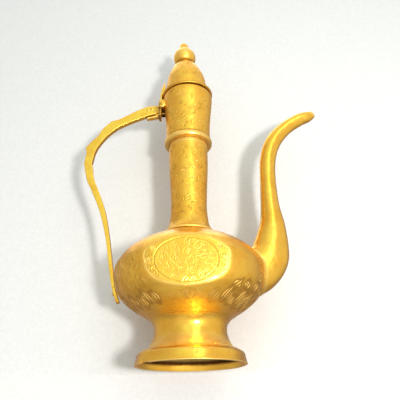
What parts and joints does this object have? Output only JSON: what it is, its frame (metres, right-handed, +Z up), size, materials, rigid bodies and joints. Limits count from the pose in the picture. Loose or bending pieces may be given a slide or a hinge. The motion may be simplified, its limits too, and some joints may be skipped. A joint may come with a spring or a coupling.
{
  "type": "ewer",
  "caption": "Brass ewer: hinged domed lid, tall engraved neck, round belly with flat medallions, hollow pedestal foot, strap handle and swan-neck spout.",
  "frame": {"origin": "middle of the whole object's footprint, on the plane the foot stands on; the turned pieces' axis is 10.6 mm towards the handle from it", "axes": "+Z up along the turned axis, +X towards the spout, so the handle is at -X and the medallions face -Y and +Y"},
  "size_m": [0.1821, 0.088, 0.2693],
  "materials": {
    "polished_brass": "hand-polished cast brass with fine turning and buffing marks",
    "engraved_brass": "chased and engraved brass, patina in the cuts",
    "cast_brass": "filed cast brass"
  },
  "bodies": {
    "pot": {"foot_flange": "polished_brass", "foot_stem": "polished_brass", "body_lower_bowl": "engraved_brass", "body_upper_bowl": "engraved_brass", "neck_tube": "engraved_brass", "collar_ring": "polished_brass", "mouth_tube": "engraved_brass", "hinge_bracket": "cast_brass", "hinge_pin": "cast_brass", "handle": "cast_brass", "handle_root_rivet_1": "cast_brass", "handle_root_rivet_2": "cast_brass", "handle_tail_rivet": "cast_brass", "spout_front_half": "polished_brass", "spout_rear_half": "polished_brass"},
    "lid": {"lid_dome": "engraved_brass", "finial": "polished_brass", "lid_hinge_leaf": "cast_brass"}
  },
  "joints": [
    {"name": "lid_hinge", "type": "hinge", "parent": "pot", "child": "lid", "pos_m": [-0.0324, 0, 0.202], "axis": [0, -1, 0], "range_deg": [-2.5, 75]}
  ]
}
